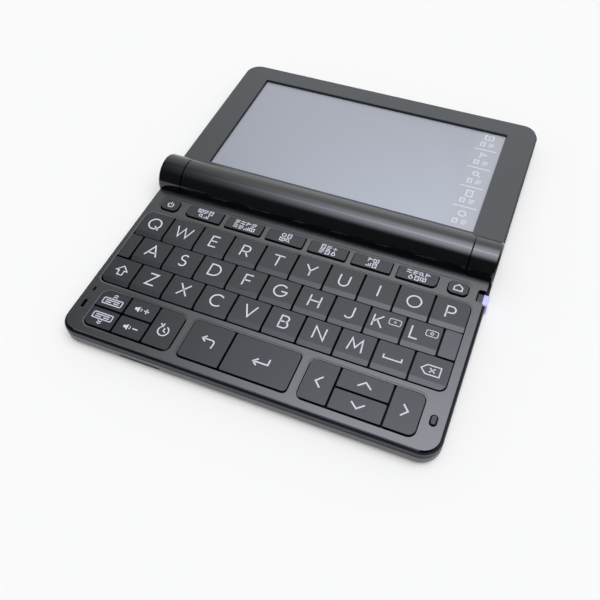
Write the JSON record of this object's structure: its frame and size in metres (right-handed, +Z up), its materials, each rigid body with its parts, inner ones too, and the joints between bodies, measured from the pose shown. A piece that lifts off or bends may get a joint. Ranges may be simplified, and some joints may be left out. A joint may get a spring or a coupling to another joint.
{
  "type": "electronic dictionary",
  "caption": "Clamshell electronic dictionary opened flat: keyboard half, display lid, round battery barrel as the hinge, and a stylus in the side.",
  "frame": {"origin": "on the table, under the hinge axis, in the middle of the width; the base reaches 89.05 mm and the lid, with its finger lip, 90.15 mm from it", "axes": "+X to the user's right along the hinge, +Y away from the user over the opened lid, +Z up"},
  "size_m": [0.1498, 0.1792, 0.0189],
  "materials": {
    "case": "satin moulded plastic",
    "deck": "satin, fine metallic paint",
    "barrel": "high gloss piano black",
    "cell_can": "plain metal can",
    "pin_steel": "ground pin",
    "board": "solder mask",
    "silicone": "moulded sheet",
    "stylus": "satin",
    "bezel": "satin",
    "display": "grey liquid crystal under a touch panel",
    "key": "matt, fine texture"
  },
  "bodies": {
    "base": {"lower_case": "case", "upper_case": "deck", "battery_barrel": "barrel", "battery_cover": "barrel", "battery_cells": "cell_can", "circuit_board": "board", "key_mat": "silicone"},
    "lid": {"lid_back": "barrel", "lid_bezel": "bezel", "display_module": "display", "hinge_pins": "pin_steel"},
    "stylus": {"stylus": "stylus"},
    "key_power": {"key_power": "key"},
    "key_function_1": {"key_function_1": "key"},
    "key_function_2": {"key_function_2": "key"},
    "key_function_3": {"key_function_3": "key"},
    "key_function_4": {"key_function_4": "key"},
    "key_function_5": {"key_function_5": "key"},
    "key_function_6": {"key_function_6": "key"},
    "key_home": {"key_home": "key"},
    "key_q": {"key_q": "key"},
    "key_w": {"key_w": "key"},
    "key_e": {"key_e": "key"},
    "key_r": {"key_r": "key"},
    "key_t": {"key_t": "key"},
    "key_y": {"key_y": "key"},
    "key_u": {"key_u": "key"},
    "key_i": {"key_i": "key"},
    "key_o": {"key_o": "key"},
    "key_p": {"key_p": "key"},
    "key_a": {"key_a": "key"},
    "key_s": {"key_s": "key"},
    "key_d": {"key_d": "key"},
    "key_f": {"key_f": "key"},
    "key_g": {"key_g": "key"},
    "key_h": {"key_h": "key"},
    "key_j": {"key_j": "key"},
    "key_k": {"key_k": "key"},
    "key_l": {"key_l": "key"},
    "key_shift": {"key_shift": "key"},
    "key_z": {"key_z": "key"},
    "key_x": {"key_x": "key"},
    "key_c": {"key_c": "key"},
    "key_v": {"key_v": "key"},
    "key_b": {"key_b": "key"},
    "key_n": {"key_n": "key"},
    "key_m": {"key_m": "key"},
    "key_space": {"key_space": "key"},
    "key_delete": {"key_delete": "key"},
    "key_page_up": {"key_page_up": "key"},
    "key_page_down": {"key_page_down": "key"},
    "key_volume_up": {"key_volume_up": "key"},
    "key_volume_down": {"key_volume_down": "key"},
    "key_history": {"key_history": "key"},
    "key_back": {"key_back": "key"},
    "key_enter": {"key_enter": "key"},
    "key_left": {"key_left": "key"},
    "key_up": {"key_up": "key"},
    "key_down": {"key_down": "key"},
    "key_right": {"key_right": "key"}
  },
  "joints": [
    {"name": "lid_hinge", "type": "hinge", "parent": "base", "child": "lid", "pos_m": [0, 0, 0.0098], "axis": [1, 0, 0], "range_deg": [0, 180]},
    {"name": "stylus_slide", "type": "slide", "parent": "base", "child": "stylus", "axis": [1, 0, 0], "range_m": [0, 0.095]},
    {"name": "key_power_press", "type": "slide", "parent": "base", "child": "key_power", "axis": [0, 0, -1], "range_m": [0, 0.0005], "stiffness_N_per_m": 700, "springref_m": -0.0002},
    {"name": "key_function_1_press", "type": "slide", "parent": "base", "child": "key_function_1", "axis": [0, 0, -1], "range_m": [0, 0.0005], "stiffness_N_per_m": 700, "springref_m": -0.0002},
    {"name": "key_function_2_press", "type": "slide", "parent": "base", "child": "key_function_2", "axis": [0, 0, -1], "range_m": [0, 0.0005], "stiffness_N_per_m": 700, "springref_m": -0.0002},
    {"name": "key_function_3_press", "type": "slide", "parent": "base", "child": "key_function_3", "axis": [0, 0, -1], "range_m": [0, 0.0005], "stiffness_N_per_m": 700, "springref_m": -0.0002},
    {"name": "key_function_4_press", "type": "slide", "parent": "base", "child": "key_function_4", "axis": [0, 0, -1], "range_m": [0, 0.0005], "stiffness_N_per_m": 700, "springref_m": -0.0002},
    {"name": "key_function_5_press", "type": "slide", "parent": "base", "child": "key_function_5", "axis": [0, 0, -1], "range_m": [0, 0.0005], "stiffness_N_per_m": 700, "springref_m": -0.0002},
    {"name": "key_function_6_press", "type": "slide", "parent": "base", "child": "key_function_6", "axis": [0, 0, -1], "range_m": [0, 0.0005], "stiffness_N_per_m": 700, "springref_m": -0.0002},
    {"name": "key_home_press", "type": "slide", "parent": "base", "child": "key_home", "axis": [0, 0, -1], "range_m": [0, 0.0005], "stiffness_N_per_m": 700, "springref_m": -0.0002},
    {"name": "key_q_press", "type": "slide", "parent": "base", "child": "key_q", "axis": [0, 0, -1], "range_m": [0, 0.0008], "stiffness_N_per_m": 500, "springref_m": -0.0002},
    {"name": "key_w_press", "type": "slide", "parent": "base", "child": "key_w", "axis": [0, 0, -1], "range_m": [0, 0.0008], "stiffness_N_per_m": 500, "springref_m": -0.0002},
    {"name": "key_e_press", "type": "slide", "parent": "base", "child": "key_e", "axis": [0, 0, -1], "range_m": [0, 0.0008], "stiffness_N_per_m": 500, "springref_m": -0.0002},
    {"name": "key_r_press", "type": "slide", "parent": "base", "child": "key_r", "axis": [0, 0, -1], "range_m": [0, 0.0008], "stiffness_N_per_m": 500, "springref_m": -0.0002},
    {"name": "key_t_press", "type": "slide", "parent": "base", "child": "key_t", "axis": [0, 0, -1], "range_m": [0, 0.0008], "stiffness_N_per_m": 500, "springref_m": -0.0002},
    {"name": "key_y_press", "type": "slide", "parent": "base", "child": "key_y", "axis": [0, 0, -1], "range_m": [0, 0.0008], "stiffness_N_per_m": 500, "springref_m": -0.0002},
    {"name": "key_u_press", "type": "slide", "parent": "base", "child": "key_u", "axis": [0, 0, -1], "range_m": [0, 0.0008], "stiffness_N_per_m": 500, "springref_m": -0.0002},
    {"name": "key_i_press", "type": "slide", "parent": "base", "child": "key_i", "axis": [0, 0, -1], "range_m": [0, 0.0008], "stiffness_N_per_m": 500, "springref_m": -0.0002},
    {"name": "key_o_press", "type": "slide", "parent": "base", "child": "key_o", "axis": [0, 0, -1], "range_m": [0, 0.0008], "stiffness_N_per_m": 500, "springref_m": -0.0002},
    {"name": "key_p_press", "type": "slide", "parent": "base", "child": "key_p", "axis": [0, 0, -1], "range_m": [0, 0.0008], "stiffness_N_per_m": 500, "springref_m": -0.0002},
    {"name": "key_a_press", "type": "slide", "parent": "base", "child": "key_a", "axis": [0, 0, -1], "range_m": [0, 0.0008], "stiffness_N_per_m": 500, "springref_m": -0.0002},
    {"name": "key_s_press", "type": "slide", "parent": "base", "child": "key_s", "axis": [0, 0, -1], "range_m": [0, 0.0008], "stiffness_N_per_m": 500, "springref_m": -0.0002},
    {"name": "key_d_press", "type": "slide", "parent": "base", "child": "key_d", "axis": [0, 0, -1], "range_m": [0, 0.0008], "stiffness_N_per_m": 500, "springref_m": -0.0002},
    {"name": "key_f_press", "type": "slide", "parent": "base", "child": "key_f", "axis": [0, 0, -1], "range_m": [0, 0.0008], "stiffness_N_per_m": 500, "springref_m": -0.0002},
    {"name": "key_g_press", "type": "slide", "parent": "base", "child": "key_g", "axis": [0, 0, -1], "range_m": [0, 0.0008], "stiffness_N_per_m": 500, "springref_m": -0.0002},
    {"name": "key_h_press", "type": "slide", "parent": "base", "child": "key_h", "axis": [0, 0, -1], "range_m": [0, 0.0008], "stiffness_N_per_m": 500, "springref_m": -0.0002},
    {"name": "key_j_press", "type": "slide", "parent": "base", "child": "key_j", "axis": [0, 0, -1], "range_m": [0, 0.0008], "stiffness_N_per_m": 500, "springref_m": -0.0002},
    {"name": "key_k_press", "type": "slide", "parent": "base", "child": "key_k", "axis": [0, 0, -1], "range_m": [0, 0.0008], "stiffness_N_per_m": 500, "springref_m": -0.0002},
    {"name": "key_l_press", "type": "slide", "parent": "base", "child": "key_l", "axis": [0, 0, -1], "range_m": [0, 0.0008], "stiffness_N_per_m": 500, "springref_m": -0.0002},
    {"name": "key_shift_press", "type": "slide", "parent": "base", "child": "key_shift", "axis": [0, 0, -1], "range_m": [0, 0.0008], "stiffness_N_per_m": 500, "springref_m": -0.0002},
    {"name": "key_z_press", "type": "slide", "parent": "base", "child": "key_z", "axis": [0, 0, -1], "range_m": [0, 0.0008], "stiffness_N_per_m": 500, "springref_m": -0.0002},
    {"name": "key_x_press", "type": "slide", "parent": "base", "child": "key_x", "axis": [0, 0, -1], "range_m": [0, 0.0008], "stiffness_N_per_m": 500, "springref_m": -0.0002},
    {"name": "key_c_press", "type": "slide", "parent": "base", "child": "key_c", "axis": [0, 0, -1], "range_m": [0, 0.0008], "stiffness_N_per_m": 500, "springref_m": -0.0002},
    {"name": "key_v_press", "type": "slide", "parent": "base", "child": "key_v", "axis": [0, 0, -1], "range_m": [0, 0.0008], "stiffness_N_per_m": 500, "springref_m": -0.0002},
    {"name": "key_b_press", "type": "slide", "parent": "base", "child": "key_b", "axis": [0, 0, -1], "range_m": [0, 0.0008], "stiffness_N_per_m": 500, "springref_m": -0.0002},
    {"name": "key_n_press", "type": "slide", "parent": "base", "child": "key_n", "axis": [0, 0, -1], "range_m": [0, 0.0008], "stiffness_N_per_m": 500, "springref_m": -0.0002},
    {"name": "key_m_press", "type": "slide", "parent": "base", "child": "key_m", "axis": [0, 0, -1], "range_m": [0, 0.0008], "stiffness_N_per_m": 500, "springref_m": -0.0002},
    {"name": "key_space_press", "type": "slide", "parent": "base", "child": "key_space", "axis": [0, 0, -1], "range_m": [0, 0.0008], "stiffness_N_per_m": 500, "springref_m": -0.0002},
    {"name": "key_delete_press", "type": "slide", "parent": "base", "child": "key_delete", "axis": [0, 0, -1], "range_m": [0, 0.0008], "stiffness_N_per_m": 500, "springref_m": -0.0002},
    {"name": "key_page_up_press", "type": "slide", "parent": "base", "child": "key_page_up", "axis": [0, 0, -1], "range_m": [0, 0.0008], "stiffness_N_per_m": 500, "springref_m": -0.0002},
    {"name": "key_page_down_press", "type": "slide", "parent": "base", "child": "key_page_down", "axis": [0, 0, -1], "range_m": [0, 0.0008], "stiffness_N_per_m": 500, "springref_m": -0.0002},
    {"name": "key_volume_up_press", "type": "slide", "parent": "base", "child": "key_volume_up", "axis": [0, 0, -1], "range_m": [0, 0.0008], "stiffness_N_per_m": 500, "springref_m": -0.0002},
    {"name": "key_volume_down_press", "type": "slide", "parent": "base", "child": "key_volume_down", "axis": [0, 0, -1], "range_m": [0, 0.0008], "stiffness_N_per_m": 500, "springref_m": -0.0002},
    {"name": "key_history_press", "type": "slide", "parent": "base", "child": "key_history", "axis": [0, 0, -1], "range_m": [0, 0.0008], "stiffness_N_per_m": 500, "springref_m": -0.0002},
    {"name": "key_back_press", "type": "slide", "parent": "base", "child": "key_back", "axis": [0, 0, -1], "range_m": [0, 0.0008], "stiffness_N_per_m": 500, "springref_m": -0.0002},
    {"name": "key_enter_press", "type": "slide", "parent": "base", "child": "key_enter", "axis": [0, 0, -1], "range_m": [0, 0.0008], "stiffness_N_per_m": 500, "springref_m": -0.0002},
    {"name": "key_left_press", "type": "slide", "parent": "base", "child": "key_left", "axis": [0, 0, -1], "range_m": [0, 0.0008], "stiffness_N_per_m": 500, "springref_m": -0.0002},
    {"name": "key_up_press", "type": "slide", "parent": "base", "child": "key_up", "axis": [0, 0, -1], "range_m": [0, 0.0008], "stiffness_N_per_m": 500, "springref_m": -0.0002},
    {"name": "key_down_press", "type": "slide", "parent": "base", "child": "key_down", "axis": [0, 0, -1], "range_m": [0, 0.0008], "stiffness_N_per_m": 500, "springref_m": -0.0002},
    {"name": "key_right_press", "type": "slide", "parent": "base", "child": "key_right", "axis": [0, 0, -1], "range_m": [0, 0.0008], "stiffness_N_per_m": 500, "springref_m": -0.0002}
  ]
}
